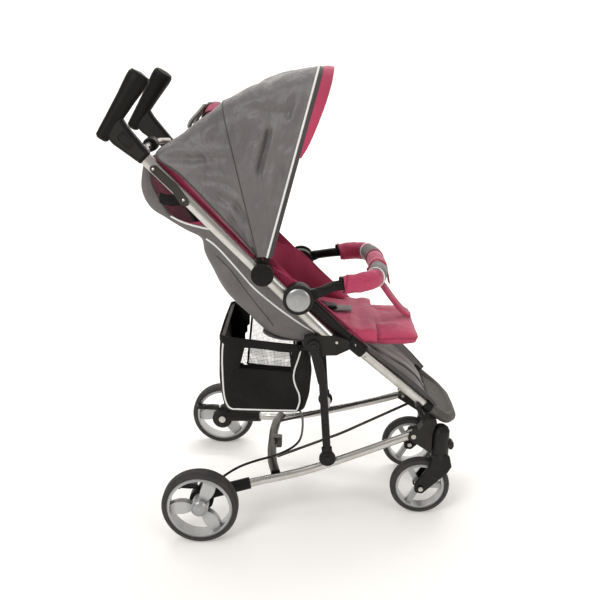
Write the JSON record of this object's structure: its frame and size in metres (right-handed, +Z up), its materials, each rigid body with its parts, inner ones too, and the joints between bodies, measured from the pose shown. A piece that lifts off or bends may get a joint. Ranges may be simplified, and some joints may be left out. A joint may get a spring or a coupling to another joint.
{
  "type": "stroller",
  "caption": "Folding pushchair with canopy, reclining fabric seat, padded bumper bar, leg rest, under-seat basket, cable brakes and swivelling front wheels.",
  "frame": {"origin": "floor point under the middle of the bounding box", "axes": "+X forward, the way the child faces; +Y to the child's left; +Z up"},
  "size_m": [0.7975, 0.5428, 1.0208],
  "materials": {
    "anodised_tube": "polished anodised",
    "black_plastic": "satin moulded",
    "soft_grip": "matt foam",
    "silver_plastic": "painted silver",
    "dark_tube": "satin",
    "steel_rod": "satin black",
    "steel": "plated",
    "tread": "foam rubber",
    "grey_fabric": "satin weave",
    "pink_fabric": "plain weave",
    "black_fabric": "coated weave",
    "board": "plain",
    "rubber_foot": "ribbed",
    "cable": "plain"
  },
  "bodies": {
    "frame": {"side_tubes": "anodised_tube", "lower_tubes": "anodised_tube", "front_beams": "black_plastic", "strut_brackets": "black_plastic", "hub_housings": "black_plastic", "hub_caps": "silver_plastic", "handle_necks": "black_plastic", "handle_grips": "soft_grip", "handle_crossbar": "anodised_tube", "crossbar_knuckle": "black_plastic", "front_carriers": "black_plastic", "footrest_bar": "rubber_foot", "seat_board": "board", "seat_pad": "pink_fabric", "hammock": "grey_fabric", "harness": "black_fabric", "calf_panel": "grey_fabric", "basket": "black_fabric", "basket_rim": "black_plastic", "canopy_clamps": "black_plastic", "canopy_panel_rear": "grey_fabric", "frame_fasteners": "steel"},
    "chassis": {"bottom_rails": "anodised_tube", "axle_brackets": "black_plastic", "rear_axles": "steel", "cross_tube": "dark_tube", "stay_rods": "steel_rod", "brake_cable": "cable"},
    "knuckle_button": {"knuckle_button": "black_plastic"},
    "backrest": {"backrest_board": "board", "backrest_pad": "pink_fabric"},
    "recline_levers": {"recline_levers": "dark_tube"},
    "legrest": {"legrest_pad": "pink_fabric"},
    "canopy_mid": {"mid_bow": "black_plastic", "canopy_panel_front": "grey_fabric"},
    "canopy_front": {"front_bow": "black_plastic", "visor": "pink_fabric"},
    "bumper": {"bumper_bar": "black_plastic", "bumper_sleeve": "pink_fabric", "crotch_strap": "pink_fabric"},
    "strut_left": {"strut_left": "black_plastic"},
    "brake_pedal_left": {"brake_pedal_left": "black_plastic"},
    "rear_wheel_left": {"rear_rim_left": "silver_plastic", "rear_tyre_left": "tread"},
    "caster_left": {"caster_fork_left": "black_plastic"},
    "front_wheel_left": {"front_rim_left": "silver_plastic", "front_tyre_left": "tread"},
    "swivel_lock_left": {"swivel_lock_left": "black_plastic"},
    "release_left": {"release_left": "black_plastic"},
    "bumper_button_left": {"bumper_button_left": "black_plastic"},
    "strut_right": {"strut_right": "black_plastic"},
    "brake_pedal_right": {"brake_pedal_right": "black_plastic"},
    "rear_wheel_right": {"rear_rim_right": "silver_plastic", "rear_tyre_right": "tread"},
    "caster_right": {"caster_fork_right": "black_plastic"},
    "front_wheel_right": {"front_rim_right": "silver_plastic", "front_tyre_right": "tread"},
    "swivel_lock_right": {"swivel_lock_right": "black_plastic"},
    "release_right": {"release_right": "black_plastic"},
    "bumper_button_right": {"bumper_button_right": "black_plastic"}
  },
  "joints": [
    {"name": "fold", "type": "hinge", "parent": "frame", "child": "chassis", "pos_m": [0.295, 0, 0.203], "axis": [0, 1, 0], "range_deg": [0, 45], "deforming": ["basket"]},
    {"name": "canopy_fold", "type": "hinge", "parent": "frame", "child": "canopy_mid", "pos_m": [-0.0485, 0, 0.597], "axis": [0, -1, 0], "range_deg": [0, 24], "deforming": ["canopy_panel_rear"]},
    {"name": "canopy_front_fold", "type": "hinge", "parent": "canopy_mid", "child": "canopy_front", "pos_m": [-0.0485, 0, 0.597], "axis": [0, -1, 0], "range_deg": [0, 24], "deforming": ["canopy_panel_front"]},
    {"name": "backrest_recline", "type": "hinge", "parent": "frame", "child": "backrest", "pos_m": [-0.052, 0, 0.452], "axis": [0, -1, 0], "range_deg": [-12, 15], "deforming": ["hammock"]},
    {"name": "recline_lever_swing", "type": "hinge", "parent": "frame", "child": "recline_levers", "pos_m": [-0.274, 0, 0.816], "axis": [0, -1, 0], "range_deg": [-16, 13]},
    {"name": "legrest_tilt", "type": "hinge", "parent": "frame", "child": "legrest", "pos_m": [0.166, 0, 0.436], "axis": [0, 1, 0], "range_deg": [0, 30]},
    {"name": "bumper_lift", "type": "hinge", "parent": "frame", "child": "bumper", "pos_m": [0.028, 0, 0.545], "axis": [0, -1, 0], "range_deg": [0, 60]},
    {"name": "knuckle_button_press", "type": "slide", "parent": "frame", "child": "knuckle_button", "axis": [0, 0, -1], "range_m": [0, 0.003], "stiffness_N_per_m": 600},
    {"name": "strut_left_fold", "type": "hinge", "parent": "chassis", "child": "strut_left", "pos_m": [0.0965, 0, 0.164], "axis": [0, 1, 0], "range_deg": [-82, 0]},
    {"name": "rear_wheel_left_spin", "type": "hinge", "parent": "chassis", "child": "rear_wheel_left", "pos_m": [-0.1855, 0, 0.085], "axis": [0, 1, 0], "continuous": true},
    {"name": "caster_left_swivel", "type": "hinge", "parent": "frame", "child": "caster_left", "pos_m": [0.36, 0.114, 0.18], "axis": [0, 0, 1], "continuous": true},
    {"name": "front_wheel_left_spin", "type": "hinge", "parent": "caster_left", "child": "front_wheel_left", "pos_m": [0.317, 0.114, 0.07], "axis": [0, 1, 0], "continuous": true},
    {"name": "brake_pedal_left_press", "type": "hinge", "parent": "chassis", "child": "brake_pedal_left", "pos_m": [-0.2, 0, 0.116], "axis": [0, -1, 0], "range_deg": [0, 20]},
    {"name": "swivel_lock_left_slide", "type": "slide", "parent": "frame", "child": "swivel_lock_left", "axis": [0, 0, -1], "range_m": [0, 0.005]},
    {"name": "release_left_press", "type": "slide", "parent": "frame", "child": "release_left", "axis": [0, -1, 0], "range_m": [0, 0.003], "stiffness_N_per_m": 600},
    {"name": "bumper_button_left_press", "type": "slide", "parent": "bumper", "child": "bumper_button_left", "axis": [0, 0, -1], "range_m": [0, 0.0025], "stiffness_N_per_m": 600},
    {"name": "strut_right_fold", "type": "hinge", "parent": "chassis", "child": "strut_right", "pos_m": [0.0965, 0, 0.164], "axis": [0, 1, 0], "range_deg": [-82, 0]},
    {"name": "rear_wheel_right_spin", "type": "hinge", "parent": "chassis", "child": "rear_wheel_right", "pos_m": [-0.1855, 0, 0.085], "axis": [0, 1, 0], "continuous": true},
    {"name": "caster_right_swivel", "type": "hinge", "parent": "frame", "child": "caster_right", "pos_m": [0.36, -0.114, 0.18], "axis": [0, 0, 1], "continuous": true},
    {"name": "front_wheel_right_spin", "type": "hinge", "parent": "caster_right", "child": "front_wheel_right", "pos_m": [0.317, -0.114, 0.07], "axis": [0, 1, 0], "continuous": true},
    {"name": "brake_pedal_right_press", "type": "hinge", "parent": "chassis", "child": "brake_pedal_right", "pos_m": [-0.2, 0, 0.116], "axis": [0, -1, 0], "range_deg": [0, 20]},
    {"name": "swivel_lock_right_slide", "type": "slide", "parent": "frame", "child": "swivel_lock_right", "axis": [0, 0, -1], "range_m": [0, 0.005]},
    {"name": "release_right_press", "type": "slide", "parent": "frame", "child": "release_right", "axis": [0, 1, 0], "range_m": [0, 0.003], "stiffness_N_per_m": 600},
    {"name": "bumper_button_right_press", "type": "slide", "parent": "bumper", "child": "bumper_button_right", "axis": [0, 0, -1], "range_m": [0, 0.0025], "stiffness_N_per_m": 600}
  ],
  "couplings": [
    {"joint": "canopy_front_fold", "follows": "canopy_fold", "ratio": 1},
    {"joint": "recline_lever_swing", "follows": "backrest_recline", "ratio": -1},
    {"joint": "strut_left_fold", "follows": "fold", "ratio": -1.8},
    {"joint": "strut_right_fold", "follows": "fold", "ratio": -1.8},
    {"joint": "brake_pedal_left_press", "follows": "brake_pedal_right_press", "ratio": 1}
  ]
}
